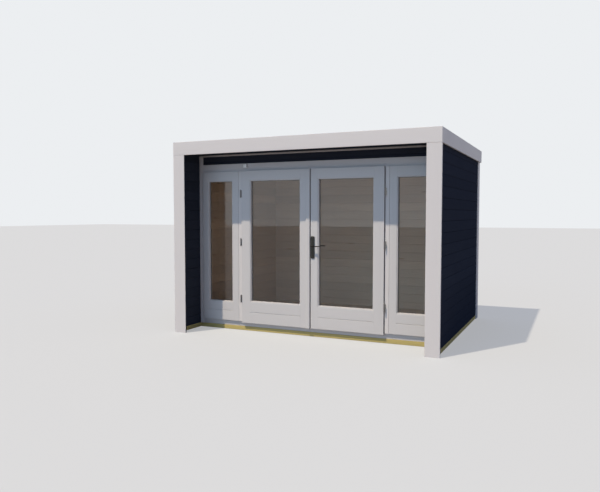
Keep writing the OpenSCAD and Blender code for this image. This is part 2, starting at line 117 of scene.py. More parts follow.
# Roof sheet with its turned-up edges and lapped seams
SHEET_T = 0.003
SHEET_FILLET = 0.015
SEAM_W = 0.05
SEAM_T = 0.0015
SEAM_SHARES = (1 / 3, 2 / 3)

# Outer boards and trim, and the two sides of an upright bar's outline that look along X
REAR_CORNER_T = 0.020
SIDE_CORNER_T = 0.010
POST_GAP = 0.0012
BAR_HIGH_SIDE = 2
BAR_LOW_SIDE = 6
BATTEN_BEVEL = 0.006
STRIP_LIP_W = 0.015
STRIP_LIP_T = 0.003

# Door leaves and window sashes
LEAF_LAP = 0.040
SASH_LAP = 0.026
PLUG_GAP = 0.006
SASH_FIT = 0.001
RAIL_JOINT_Z = 0.235
RAIL_GROOVE = 0.003
RAIL_GAP = 0.0006
MEETING_BEVEL = 0.004

# Glazing: beads, panes, the spacer bar between them and the seals
BEAD_BACK = 0.006
BEAD_FACE = 0.001
BEAD_NOSE = 0.010
BEAD_FOOT = 0.013
BEAD_BULGE = 0.0004
BEAD_STEPS = 6
PANE_T = 0.004
PANE_EDGE = 0.0003
SPACER_W = 0.010
SEAL_W = 0.002
SEAL_T = 0.0006

# Screws: the head as shares of its rise and its radius, and the cross as shares of that radius
SCREW_R = 0.0035
SCREW_RISE = 0.0006
SCREW_HEAD = ((0.0, 1.0), (0.6, 0.9), (1.0, 0.55))
CROSS_ARM = 0.62
CROSS_HALF_W = 0.13
CROSS_RISE = 0.0007

# Hinges. The cap on the pin is a list of places along it and the radius there.
KNUCKLE_R = 0.0065
FRAME_KNUCKLE_CUT = 0.0006
LEAF_KNUCKLE_CUT = 0.0004
HINGE_GAP = 0.0005
PIN_R = 0.003
PIN_SEAT = 0.002
PIN_CAP = ((-0.001, 0.005), (0.0, 0.005), (0.0022, 0.004), (0.003, 0.002))
PLATE_T = 0.0025
PLATE_W = 0.015
PLATE_CORNER = 0.003
PLATE_ROUND = 0.0006
PLATE_SCREW_SET = 0.0105
PLATE_SCREW_SHARES = (0.16, 0.5, 0.84)

# Handle plates with the rose round the lever's neck and the lock cylinder below it, both as
# lists of places outwards and the radius there
HANDLE_CORNER = 0.012
HANDLE_ROUND = 0.0025
HANDLE_SCREW_R = 0.0042
HANDLE_SCREW_SET = 0.016
ROSE = ((0.0, 0.0165), (0.002, 0.0165), (0.004, 0.0145), (0.0045, 0.0110))
CYLINDER = ((0.0, 0.0086), (0.0022, 0.0086), (0.0028, 0.0078))
CYLINDER_DROP = 0.072
CYLINDER_RISE = 0.0028
TAIL_HALF_W = 0.005
TAIL_TOP = 0.004
TAIL_FOOT = 0.024
TAIL_CORNER = 0.0045
KEY_HALF_W = 0.0008
KEY_HALF_H = 0.0045
KEY_RISE = 0.0030
KEY_CORNER = 0.0007

# Lever: the neck as shares of the grip's thickness or of the way to the plate, and of its own
# radius. The grip thins to these shares at the tip, bows towards the leaf and has round ends.
NECK_R = 0.008
NECK_WAIST = 0.78
NECK_IN_GRIP = ((0.0, 0.9), (0.35, 0.95), (0.6, NECK_WAIST))
NECK_TO_PLATE = ((0.8, NECK_WAIST), (1.2, 1.0))
LEVER_H = 0.012
LEVER_T = 0.020
LEVER_TIP_T = 0.36
LEVER_TIP_H = 0.42
LEVER_BOW = 0.002
LEVER_END = 0.07
LEVER_END_R = 0.075
LEVER_STATIONS = 14
LEVER_SQUARE = 0.6

# Block on the frame head: a flat foot and a rounded case
BLOCK_FOOT = 0.006
BLOCK_INSET = 0.0015
BLOCK_CORNER = 0.006
BLOCK_ROUND = 0.005

# Paint colours, how much the sill keeps of its colour's brightness, and the share of light that
# glass reflects when it is seen straight on. The joinery white is the pale white made darker, as
# painted shade of the recess. The sill's loss of brightness is also painted shade, for the little
# light that comes up from the ground in front of it.
WHITE = (0.615, 0.585, 0.580, 1.0)
JOINERY_SHADED_WHITE = (0.554, 0.536, 0.535, 1.0)
NAVY = (0.0338, 0.0396, 0.0565, 1.0)
SILL_PAINTED_SHADE = 0.86
GLASS_MIRROR = 0.056


def lerp(a, b, share):
    return a + (b - a) * share


def other_axes(axis):
    """The two other axes, in order."""
    return [other for other in range(3) if other != axis]


def solids(node):
    """Boxes of the separate solids of a CAD node, from left to right, front to back and up."""
    mesh = bmesh.new()
    mesh.from_mesh(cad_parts[node].data)
    bmesh.ops.remove_doubles(mesh, verts=mesh.verts, dist=WELD_DISTANCE)
    unseen = set(mesh.verts)
    found = []
    while unseen:
        waiting = [unseen.pop()]
        points = []
        while waiting:
            vertex = waiting.pop()
            points.append(vertex.co.copy())
            for edge in vertex.link_edges:
                other = edge.other_vert(vertex)
                if other in unseen:
                    unseen.remove(other)
                    waiting.append(other)
        found.append([Vector([end(p[axis] for p in points) for axis in range(3)])
                      for end in (min, max)])
    mesh.free()
    return sorted(found, key=lambda box: [round(c, ORDER_DIGITS) for c in box[0]])


def new_object(name, data):
    """Object in the scene that shows a mesh, a lamp or a camera."""
    made = bpy.data.objects.new(name, data)
    bpy.context.scene.collection.objects.link(made)
    return made


class Piece:
    """One visible piece, made of parts that each have their own grain and tone."""

    def __init__(self, name):
        self.name = name
        self.mesh = bmesh.new()
        self.grain = self.mesh.verts.layers.float_vector.new("grain")
        self.tone = self.mesh.verts.layers.float.new("tone")
        self.chance = random.Random(name)

    def loft(self, rings, along, slot=0, slots=None):
        """Solid that joins rings of points in order, with a cap at each end.
        slots, if given, says which material each side of each stretch has."""
        tone = self.chance.random()
        side = self.chance.choice((-1, 1))
        draw = self.chance.uniform
        shift = Vector((draw(0, LOG_LENGTH), draw(-LOG_SIDE, LOG_SIDE),
                        side * draw(LOG_NEAR, LOG_FAR)))
        points = [Vector(p) for ring in rings for p in ring]
        middle = sum(points, Vector()) / len(points)
        order = [along] + other_axes(along)
        made = []
        for point in points:
            vertex = self.mesh.verts.new(point)
            vertex[self.grain] = Vector([point[axis] - middle[axis] for axis in order]) + shift
            vertex[self.tone] = tone
            made.append(vertex)
        count = len(rings[0])
        for step in range(len(rings) - 1):
            for i in range(count):
                a, b = step * count + i, step * count + (i + 1) % count
                face = self.mesh.faces.new((made[a], made[b], made[b + count], made[a + count]))
                face.material_index = slots(step, i) if slots else slot
        for ring in (made[:count], made[-count:]):
            self.mesh.faces.new(ring).material_index = slot

    def bar(self, low, high, along, cuts=SOFT_EDGE, end_cut=FINE_EDGE, slot=0, slots=None):
        """Straight board with bevelled edges. cuts is one size, or one for each long edge:
        low-low, high-low, high-high and low-high of the two axes across it."""
        first, second = other_axes(along)
        c00, c10, c11, c01 = cuts if isinstance(cuts, tuple) else (cuts,) * 4
        stations = [(low[along], 0), (high[along], 0)]
        if end_cut:
            stations = [(low[along], end_cut), (low[along] + end_cut, 0),
                        (high[along] - end_cut, 0), (high[along], end_cut)]
        rings = []
        for place, inset in stations:
            a0, a1 = low[first] + inset, high[first] - inset
            b0, b1 = low[second] + inset, high[second] - inset
            outline = [(a0 + c00, b0), (a1 - c10, b0), (a1, b0 + c10), (a1, b1 - c11),
                       (a1 - c11, b1), (a0 + c01, b1), (a0, b1 - c01), (a0, b0 + c00)]
            rings.append([self.point(along, place, a, b) for a, b in outline])
        self.loft(rings, along, slot, slots)

    def turned(self, centre, axis, profile, sides=ROUND_SIDES):
        """Round solid on an axis. The profile lists places along it and the radius there."""
        first, second = other_axes(axis)
        turns = [2 * math.pi * i / sides for i in range(sides)]
        rings = [[self.point(axis, centre[axis] + place, centre[first] + radius * math.cos(t),
                             centre[second] + radius * math.sin(t)) for t in turns]
                 for place, radius in profile]
        self.loft(rings, axis)

    def pad(self, low, high, axis, corner, round_low=0.0, round_high=0.0, slot=0):
        """Plate with round corners, and rounded edges on the faces that lie across the axis."""
        first, second = other_axes(axis)
        quarter = [math.radians(90 * i / CORNER_STEPS) for i in range(CORNER_STEPS + 1)]
        stations = [(low[axis], 0.0)]
        if round_low:
            stations = [(low[axis] + round_low * (1 - math.sin(t)), round_low * (1 - math.cos(t)))
                        for t in reversed(quarter)]
        if round_high:
            stations += [(high[axis] - round_high * (1 - math.sin(t)),
                          round_high * (1 - math.cos(t))) for t in quarter]
        else:
            stations.append((high[axis], 0.0))
        rings = []
        for place, inset in stations:
            r = max(corner - inset, LEAST_CORNER)
            a0, a1 = low[first] + inset + r, high[first] - inset - r
            b0, b1 = low[second] + inset + r, high[second] - inset - r
            ring = []
            for a, b, start in ((a1, b1, 0), (a0, b1, 90), (a0, b0, 180), (a1, b0, 270)):
                for t in quarter:
                    turn = t + math.radians(start)
                    over, up = r * math.cos(turn), r * math.sin(turn)
                    ring.append(self.point(axis, place, a + over, b + up))
            rings.append(ring)
        self.loft(rings, axis, slot)

    def mitred(self, hole, profile, slot=0):
        """Four sticks round a hole (x0, x1, z0, z1), mitred at the corners.
        The profile lists how far each point lies from the edge of the hole, and its depth."""
        x0, x1, z0, z1 = hole
        corners = [(x0, z0, 1, 1), (x1, z0, -1, 1), (x1, z1, -1, -1), (x0, z1, 1, -1)]
        for i, along in enumerate((X, Z, X, Z)):
            ends = (corners[i], corners[(i + 1) % 4])
            rings = [[(x + sx * w, y, z + sz * w) for w, y in profile] for x, z, sx, sz in ends]
            self.loft(rings, along, slot)

    @staticmethod
    def point(axis, place, a, b):
        """Point at a place on one axis, with a and b on the other two in order."""
        coords = [a, b]
        coords.insert(axis, place)
        return tuple(coords)

    def finish(self, body, slot, materials, *nodes):
        """Turns the parts into one object that rides on a body and stands for CAD nodes."""
        bmesh.ops.recalc_face_normals(self.mesh, faces=self.mesh.faces)
        data = bpy.data.meshes.new(self.name)
        self.mesh.to_mesh(data)
        self.mesh.free()
        data.shade_smooth()
        data.set_sharp_from_angle(angle=math.radians(SHARP_ANGLE))
        for material in materials:
            data.materials.append(material)
        piece = new_object(self.name, data)
        normals = piece.modifiers.new("even_normals", "WEIGHTED_NORMAL")
        normals.keep_sharp = True
        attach(piece, body)
        if nodes:
            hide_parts(*nodes)


class Nodes:
    """Short way to write the node tree of a material or of the sky."""

    def __init__(self, owner):
        owner.use_nodes = True
        self.owner = owner
        self.tree = owner.node_tree
        self.tree.nodes.clear()

    def feed(self, socket, value):
        """Links a socket to another one, or sets its value."""
        if isinstance(value, bpy.types.NodeSocket):
            self.tree.links.new(value, socket)
        else:
            socket.default_value = value

    def add(self, kind, inputs=None, **settings):
        """Adds a node. inputs gives its sockets by name or number."""
        node = self.tree.nodes.new("ShaderNode" + kind)
        for key, value in settings.items():
            setattr(node, key, value)
        for key, value in (inputs or {}).items():
            self.feed(node.inputs[key], value)
        return node

    def grain(self, along, across):
        """Place in the board, with the grain along X, stretched by two factors."""
        place = self.add("Attribute", attribute_name="grain").outputs["Vector"]
        return self.add("Mapping", {"Vector": place, "Scale": (along, across, across)}).outputs[0]

    def tone(self):
        """A number from 0 to 1 that is the same all over one board."""
        return self.add("Attribute", attribute_name="tone").outputs["Fac"]

    def place(self):
        """Place in the frame's own axes."""
        return self.add("TexCoord").outputs["Object"]

    def noise(self, vector, scale=1.0, detail=3.0, rough=0.55):
        return self.add("TexNoise", {"Vector": vector, "Scale": scale, "Detail": detail,
                                     "Roughness": rough}).outputs["Fac"]

    def rings(self, scale, distortion):
        """Growth rings round the middle of the log that the board was cut from."""
        place = self.grain(along=0.07, across=1.0)
        return self.add("TexWave", {"Vector": place, "Scale": scale, "Distortion": distortion,
                                    "Detail": 2.0, "Detail Scale": 0.35},
                        wave_type="RINGS", rings_direction="X").outputs["Fac"]

    def span(self, value, low, high, to_low=0.0, to_high=1.0):
        """Maps a value from one range to another, and keeps it there."""
        return self.add("MapRange", {"Value": value, "From Min": low, "From Max": high,
                                     "To Min": to_low, "To Max": to_high}).outputs[0]

    def math(self, operation, a, b):
        return self.add("Math", {0: a, 1: b}, operation=operation).outputs[0]

    def total(self, first, first_weight, second, second_weight):
        """Sum of two values, each times its weight."""
        return self.math("ADD", self.math("MULTIPLY", first, first_weight),
                         self.math("MULTIPLY", second, second_weight))

    def mix(self, share, a, b):
        """Colour between a and b. A Mix node has its colours at inputs 6 and 7 and output 2."""
        return self.add("Mix", {0: share, 6: a, 7: b}, data_type="RGBA").outputs[2]

    def mix_shaders(self, share, a, b):
        """Shader between those of two nodes."""
        return self.add("MixShader", {0: share, 1: a.outputs[0], 2: b.outputs[0]}).outputs[0]

    def bump(self, height, distance):
        return self.add("Bump", {"Height": height, "Distance": distance}).outputs[0]

    def surface(self, shader, output="OutputMaterial"):
        """Ends the tree with a shader, and gives what the tree belongs to."""
        self.add(output, {"Surface": shader})
        return self.owner

    def principled(self, inputs):
        """Ends the tree with the standard shader."""
        return self.surface(self.add("BsdfPrincipled", inputs).outputs[0])


def material_nodes(name):
    return Nodes(bpy.data.materials.new(name))


def rgb(red, green, blue):
    return (red, green, blue, 1.0)


def shade(colour, factor):
    """A colour made darker or lighter by one factor."""
    return rgb(*(c * factor for c in colour[:3]))


def painted_timber(name, colour, roughness, gloss, grain_depth, contrast):
    """Paint on planed timber: a faint grain, brush marks and small changes of tone."""
    n = material_nodes(name)
    fibres = n.noise(n.grain(along=5.0, across=150.0), detail=4.0)
    brush = n.noise(n.grain(along=12.0, across=700.0), detail=2.0)
    clouds = n.noise(n.grain(along=1.3, across=6.0))
    board = n.mix(n.tone(), shade(colour, 1 - contrast), shade(colour, 1 + contrast))
    cloudy = n.mix(n.span(clouds, 0.3, 0.7, to_high=0.5), board, shade(colour, 1 - 1.5 * contrast))
    streaked = n.mix(n.span(fibres, 0.45, 0.75, to_high=0.5), cloudy,
                     shade(colour, 1 - 2.5 * contrast))
    dull = n.total(clouds, 1.0, brush, 0.5)
    relief = n.total(fibres, 0.75, brush, 0.25)
    return n.principled({
        "Base Color": streaked,
        "Roughness": n.span(dull, 0.4, 1.1, roughness - 0.06, roughness + 0.08),
        "Specular IOR Level": gloss,
        "Normal": n.bump(relief, grain_depth)})


def bare_timber(name, early, late, knot, roughness, grain_depth, ring_scale):
    """Bare softwood: growth rings, fine fibres and a few knots."""
    n = material_nodes(name)
    rings = n.rings(ring_scale, distortion=7.0)
    fibres = n.noise(n.grain(along=6.0, across=260.0), detail=4.0)
    clouds = n.noise(n.grain(along=1.0, across=7.0), detail=2.0)
    board = n.mix(n.tone(), shade(early, 0.88), shade(early, 1.10))
    ringed = n.mix(n.span(rings, 0.35, 1.0, to_high=0.75), board, late)
    cloudy = n.mix(n.span(clouds, 0.35, 0.7, to_high=0.4), ringed, shade(late, 0.9))
    streaked = n.mix(n.span(fibres, 0.45, 0.8, to_high=0.45), cloudy, shade(late, 0.75))
    spots = n.add("TexVoronoi", {"Vector": n.grain(along=1.6, across=9.0), "Scale": 1.0})
    knots = n.span(spots.outputs["Distance"], 0.06, 0.13, to_low=1.0, to_high=0.0)
    relief = n.total(rings, 0.35, fibres, 0.65)
    return n.principled({
        "Base Color": n.mix(knots, streaked, knot),
        "Roughness": n.span(fibres, 0.3, 0.8, roughness - 0.07, roughness + 0.1),
        "Specular IOR Level": 0.3,
        "Normal": n.bump(relief, grain_depth)})


def roof_sheet(name, colour):
    """Matt roofing sheet with a fine grain, soft waves and a little dust."""
    n = material_nodes(name)
    waves = n.noise(n.place(), scale=2.2, detail=2.0)
    fine = n.noise(n.place(), scale=420.0, detail=2.0)
    dust = n.noise(n.place(), scale=5.0, detail=6.0, rough=0.65)
    return n.principled({
        "Base Color": n.mix(n.span(dust, 0.45, 0.75, to_high=0.55), colour, shade(colour, 2.0)),
        "Roughness": n.span(dust, 0.3, 0.7, to_low=0.68, to_high=0.85),
        "Specular IOR Level": 0.25,
        "Normal": n.bump(n.total(waves, 20.0, fine, 1.0), 0.0003)})


def metal(name, colour, roughness):
    """Satin metal with fine brushed lines and a few darker marks."""
    n = material_nodes(name)
    lines = n.noise(n.grain(along=60.0, across=2500.0), detail=2.0)
    marks = n.noise(n.place(), scale=90.0, detail=4.0)
    return n.principled({
        "Base Color": n.mix(n.span(marks, 0.45, 0.75, to_high=0.5), colour, shade(colour, 0.7)),
        "Metallic": 1.0,
        "Roughness": n.span(n.math("ADD", lines, marks), 0.6, 1.4,
                            roughness - 0.07, roughness + 0.1),
        "Normal": n.bump(lines, 0.00004)})


def moulded_plastic(name, colour, roughness):
    """Plastic or rubber with a fine moulded texture."""
    n = material_nodes(name)
    fine = n.noise(n.place(), scale=1500.0, detail=2.0)
    clouds = n.noise(n.place(), scale=14.0)
    return n.principled({
        "Base Color": n.mix(n.span(clouds, 0.35, 0.7), colour, shade(colour, 0.93)),
        "Roughness": n.span(clouds, 0.3, 0.7, roughness - 0.04, roughness + 0.06),
        "Normal": n.bump(fine, 0.00003)})


def clear_glass(name, tint):
    """Thin clear glass: it lets light through straight, and reflects more at a low angle."""
    n = material_nodes(name)
    ripples = n.noise(n.place(), scale=3.0, detail=2.0)
    smears = n.noise(n.place(), scale=9.0, detail=4.0)
    through = n.add("BsdfTransparent", {"Color": tint})
    gloss = n.add("BsdfGlossy", {
        "Color": rgb(0.95, 0.97, 1.0),
        "Roughness": n.span(smears, 0.4, 0.8, to_low=0.01, to_high=0.04),
        "Normal": n.bump(ripples, 0.0002)})
    slant = n.add("LayerWeight", {"Blend": 0.5}).outputs["Facing"]
    slanted = n.math("MULTIPLY", n.math("POWER", slant, 5.0), 1.0 - GLASS_MIRROR)
    return n.surface(n.mix_shaders(n.math("ADD", slanted, GLASS_MIRROR), through, gloss))


paint = painted_timber("pale_paint", WHITE,
                       roughness=0.48, gloss=0.22, grain_depth=0.00018, contrast=0.012)
# Sill paint: the pale white made darker, as painted shade for the little light from the ground in
# front of it.
sill_shaded_paint = painted_timber("sill_shaded_paint", shade(WHITE, SILL_PAINTED_SHADE),
                            roughness=0.52, gloss=0.22, grain_depth=0.00020, contrast=0.02)
# Joinery paint: the pale white made darker, as painted shade of the recess.
joinery_shaded_paint = painted_timber("joinery_shaded_paint", JOINERY_SHADED_WHITE,
                               roughness=0.45, gloss=0.25, grain_depth=0.00015, contrast=0.012)
navy = painted_timber("navy_paint", NAVY,
                      roughness=0.60, gloss=0.0, grain_depth=0.00045, contrast=0.09)
inner_timber = bare_timber("inner_timber", early=rgb(0.80, 0.65, 0.50), late=rgb(0.66, 0.50, 0.36),
                           knot=rgb(0.55, 0.38, 0.25), roughness=0.55, grain_depth=0.00025,
                           ring_scale=58.0)
treated_timber = bare_timber("treated_timber", early=rgb(0.555, 0.442, 0.170),
                             late=rgb(0.405, 0.334, 0.124), knot=rgb(0.14, 0.10, 0.03),
                             roughness=0.72, grain_depth=0.0006, ring_scale=45.0)
roofing = roof_sheet("roofing", rgb(0.030, 0.031, 0.034))
hinge_steel = metal("hinge_steel", rgb(0.24, 0.24, 0.25), roughness=0.42)
plate_zinc = metal("plate_zinc", rgb(0.62, 0.62, 0.61), roughness=0.40)
dark_metal = metal("dark_metal", rgb(0.060, 0.062, 0.061), roughness=0.38)
lever_metal = metal("lever_metal", rgb(0.022, 0.022, 0.023), roughness=0.50)
spacer_metal = metal("spacer_metal", rgb(0.55, 0.55, 0.55), roughness=0.35)
# Black for the crosses of screws and the keyway of the lock: painted shade of their recesses.
painted_shade_black = moulded_plastic("painted_shade_slot", rgb(0.008, 0.008, 0.008), roughness=0.6)
seal_rubber = moulded_plastic("glass_seal", rgb(0.10, 0.10, 0.105), roughness=0.6)
block_plastic = moulded_plastic("block_plastic", rgb(0.90, 0.90, 0.89), roughness=0.4)
glass = clear_glass("window_glass", rgb(0.970, 0.976, 0.972))


def plain_bars(name, node, along, material, slot, cuts=SOFT_EDGE, body="pod"):
    """Piece that stands for a node whose solids are straight boards."""
    piece = Piece(name)
    for low, high in solids(node):
        piece.bar(low, high, along, cuts)
    piece.finish(body, slot, [material], node)


def foundation():
    for name, node, along in (("foundation_side_beams", "foundation_sides", Y),
                              ("foundation_front_beam", "foundation_front", X),
                              ("foundation_back_beam", "foundation_back", X),
                              ("floor_joist_beams", "floor_joists", X)):
        plain_bars(name, node, along, treated_timber, "treated_timber", ROUGH_EDGE)


def fascias():
    for name, node, along in (("front_fascia_board", "front_fascia", X),
                              ("side_fascia_boards", "side_fascias", Y),
                              ("back_fascia_board", "back_fascia", X)):
        plain_bars(name, node, along, paint, "pale_paint")


def front_posts():
    """Two boards with a fine open joint under the fascia. The narrow side that faces the
    recess is painted as the walls are."""
    piece = Piece("front_post_boards")
    for low, high in solids("front_posts"):
        inner_side = BAR_HIGH_SIDE if high.x < 0 else BAR_LOW_SIDE
        top = Vector((high.x, high.y, high.z - POST_GAP))
        piece.bar(low, top, Z, slots=lambda step, side: 1 if side == inner_side else 0)
    piece.finish("pod", "pale_paint", [paint, navy], "front_posts")


def back_corners():
    """At each rear corner, one board on the back wall and a thinner one on the side wall."""
    piece = Piece("back_post_boards")
    for low, high in solids("back_posts"):
        inner_y = high.y - REAR_CORNER_T
        x0, x1 = (high.x - SIDE_CORNER_T, high.x) if low.x > 0 else (low.x, low.x + SIDE_CORNER_T)
        piece.bar((low.x, inner_y, low.z), high, Z)
        piece.bar((x0, low.y, low.z), (x1, inner_y, high.z), Z, FINE_EDGE)
    piece.finish("pod", "pale_paint", [paint], "back_posts")


def corner_strips():
    """Each strip has a thin lip beside the sash, where a dark line shows."""
    piece = Piece("corner_strip_boards")
    for low, high in solids("corner_strips"):
        step = high.x - STRIP_LIP_W if low.x < 0 else low.x + STRIP_LIP_W
        wide, lip = (low.x, step), (step, high.x)
        if low.x > 0:
            wide, lip = lip, wide
        piece.bar((wide[0], low.y, low.z), (wide[1], high.y, high.z), Z, TRIM_EDGE)
        piece.bar((lip[0], high.y - STRIP_LIP_T, low.z), (lip[1], high.y, high.z), Z, LIP_EDGE)
    piece.finish("pod", "pale_paint", [paint], "corner_strips")


def door_frame():
    """Frame of the glazed front, with the boards on it and the batten under the soffit."""
    batten_cuts = (FINE_EDGE, FINE_EDGE, FINE_EDGE, BATTEN_BEVEL)
    for name, node, along, material, cuts in (
            ("sill_timber", "frame_sill", X, sill_shaded_paint, ROUGH_EDGE),
            ("head_timber", "frame_head", X, paint, SOFT_EDGE),
            ("head_casing_board", "head_casing", X, paint, TRIM_EDGE),
            ("mullion_timbers", "frame_mullions", Z, paint, SOFT_EDGE),
            ("jamb_timbers", "frame_jambs", Z, paint, SOFT_EDGE),
            ("mullion_cover_boards", "mullion_covers", Z, paint, TRIM_EDGE),
            ("soffit_batten_strip", "soffit_batten", X, paint, batten_cuts)):
        plain_bars(name, node, along, material, "pale_paint", cuts)


def wall_outline(low, high, thick, joint_below, joint_above):
    """Outline of one wall board in thickness and height: bevelled faces, a groove below and
    a tongue above. The outer face is at 0."""
    g, e = WALL_GROOVE, BOARD_JOINT
    t0, t1 = (share * thick for share in TONGUE_SHARE)
    outline = [(0, low), (thick, low)]
    if joint_below:
        roof = low + e + TONGUE_H
        outline = [(0, low + g), (g, low + e), (t0 - e, low + e), (t0 - e, roof), (t1 + e, roof),
                   (t1 + e, low + e), (thick - g, low + e), (thick, low + g)]
    if joint_above:
        tip = high - e + TONGUE_H
        return outline + [(thick, high - g), (thick - g, high - e), (t1, high - e), (t1, tip),
                          (t0, tip), (t0, high - e), (g, high - e), (0, high - g)]
    return outline + [(thick, high), (0, high)]


def wall_joints(bottom):
    """Heights of the joints between wall boards, which line up all round the pod."""
    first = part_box("left_wall")[0].z + FIRST_BOARD
    count = math.ceil((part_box("front_fascia")[0].z - first) / WALL_BOARD)
    joints = [first + i * WALL_BOARD for i in range(count)]
    return [z for z in joints if z > bottom + 2 * WALL_GROOVE]


def wall(name, node, along, outer_first, stations):
    """Wall of boards that run along X or Y. outer_first says whether the outer face lies at
    the low end of the axis across, and stations lists the cuts along the boards, each with
    the height of the wall's top there and whether the inner face behind it is bare timber."""
    low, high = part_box(node)
    side = X if along == Y else Y
    thick = high[side] - low[side]
    outer, inward = (low[side], 1) if outer_first else (high[side], -1)
    bare = [flag for _, _, flag in stations]
    bottoms = [low.z] + wall_joints(low.z)
    piece = Piece(name)
    for i, bottom in enumerate(bottoms):
        is_last = i == len(bottoms) - 1
        rings = []
        for place, wall_top, _ in stations:
            top = wall_top if is_last else bottoms[i + 1]
            outline = wall_outline(bottom, top, thick, i > 0, not is_last)
            rings.append([Piece.point(along, place, outer + inward * t, z) for t, z in outline])
        following = outline[1:] + outline[:1]
        inner = [(t + t_next) / 2 > thick / 2 for (t, _), (t_next, _) in zip(outline, following)]
        piece.loft(rings, along, slots=lambda step, edge: 1 if bare[step] and inner[edge] else 0)
    piece.finish("pod", "navy_boards", [navy, inner_timber], node)


def roof_fall():
    """How far the roof deck falls from its front edge to its back edge."""
    low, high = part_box("roof_deck")
    return high.z - low.z - DECK_T


def side_wall(name, node, outer_first):
    """Wall cut to the fall of the roof. Its inner face is painted up to the glazed front."""
    low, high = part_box(node)
    frame_low, frame_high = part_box("frame_head")
    change = (frame_low.y + frame_high.y) / 2
    stations = []
    for y, bare in ((low.y, False), (change, True), (high.y, True)):
        stations.append((y, high.z - roof_fall() * (y - low.y) / (high.y - low.y), bare))
    wall(name, node, Y, outer_first, stations)


def walls():
    side_wall("left_wall_boards", "left_wall", True)
    side_wall("right_wall_boards", "right_wall", False)
    for name, node, outer_first in (("back_wall_boards", "back_wall", False),
                                    ("front_header_boards", "front_header", True)):
        low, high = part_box(node)
        wall(name, node, X, outer_first, [(x, high.z, True) for x in (low.x, high.x)])


def laid_edges(low, high, width):
    """Edges of boards of one width laid side by side. The last is no narrower than a quarter."""
    edges = [low]
    while edges[-1] + width <= high - width / 4:
        edges.append(edges[-1] + width)
    return edges + [high]


def laid_outline(a0, a1, face, other):
    """Outline of one laid board across and in height, with a bevel on both edges of its face."""
    up = 1 if face > other else -1
    g, e = LAID_GROOVE, BOARD_JOINT / 2
    return [(a0 + e, other), (a1 - e, other), (a1 - e, face - up * g), (a1 - g, face),
            (a0 + g, face), (a0 + e, face - up * g)]


def laid_boards(name, node, side, width, face, other, material, slot, fall=0.0):
    """Boards laid side by side along one axis. face is the height of their bevelled face and
    other that of the other one, where they start, and fall is how far they go down from there."""
    low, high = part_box(node)
    along = Y if side == X else X
    edges = laid_edges(low[side], high[side], width)
    piece = Piece(name)
    for a0, a1 in zip(edges, edges[1:]):
        outline = laid_outline(a0, a1, face, other)
        piece.loft([[Piece.point(along, place, a, z - drop) for a, z in outline]
                    for place, drop in ((low[along], 0.0), (high[along], fall))], along)
    piece.finish("pod", slot, [material], node)


def floor():
    low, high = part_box("floor_boards")
    laid_boards("floor_planks", "floor_boards", X, LAID_BOARD, high.z, low.z,
                inner_timber, "natural_timber")


def roof():
    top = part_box("roof_deck")[1].z
    laid_boards("roof_deck_boards", "roof_deck", X, LAID_BOARD, top - DECK_T, top,
                inner_timber, "natural_timber", roof_fall())
    plain_bars("roof_purlin_timbers", "roof_purlins", X, inner_timber, "natural_timber", TRIM_EDGE)
    low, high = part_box("soffit")
    laid_boards("soffit_boards", "soffit", Y, SOFFIT_BOARD, low.z, high.z, navy, "navy_boards")


def upturn(edge, inward, base):
    """Inner outline of the roof sheet beside an upturned edge, from the upright to the flat."""
    t, f = SHEET_T, SHEET_FILLET
    return [(edge + inward * t, base + t + f), (edge + inward * (t + f / 3), base + t + f / 3),
            (edge + inward * (t + f), base + t)]


def seam_outline(x, bottom):
    """Lapped seam across and in height, with thin bevelled edges."""
    w, t = SEAM_W, SEAM_T
    return [(x, bottom), (x + w, bottom), (x + w, bottom + t / 2), (x + w - t, bottom + t),
            (x + t, bottom + t), (x, bottom + t / 2)]


def roof_cover():
    """Sheet on the deck, turned up at the sides and the front, with two lapped seams."""
    low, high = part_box("roof_covering")
    deck_low, deck_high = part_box("roof_deck")
    back_drop = roof_fall() * (high.y - low.y) / (deck_high.y - deck_low.y)
    base = low.z + back_drop
    t = SHEET_T
    piece = Piece("roof_sheet_cover")
    outline = [(low.x, base), (high.x, base), (high.x, high.z), (high.x - t, high.z)]
    outline += upturn(high.x, -1, base) + upturn(low.x, 1, base)[::-1]
    outline += [(low.x + t, high.z), (low.x, high.z)]
    piece.loft([[(x, y, z if z == high.z else z - drop) for x, z in outline]
                for y, drop in ((low.y, 0.0), (high.y, back_drop))], Y)
    front = [(low.y, base)] + upturn(low.y, 1, base)[::-1] + [(low.y + t, high.z), (low.y, high.z)]
    piece.loft([[(x, y, z) for y, z in front] for x in (low.x + t, high.x - t)], X)
    start = low.y + t + SHEET_FILLET
    start_drop = back_drop * (start - low.y) / (high.y - low.y)
    for share in SEAM_SHARES:
        seam = seam_outline(lerp(low.x, high.x, share), base + t)
        piece.loft([[(x, y, z - drop) for x, z in seam]
                    for y, drop in ((start, start_drop), (high.y, back_drop))], Y)
    piece.finish("pod", "roof_sheet", [roofing], "roof_covering")


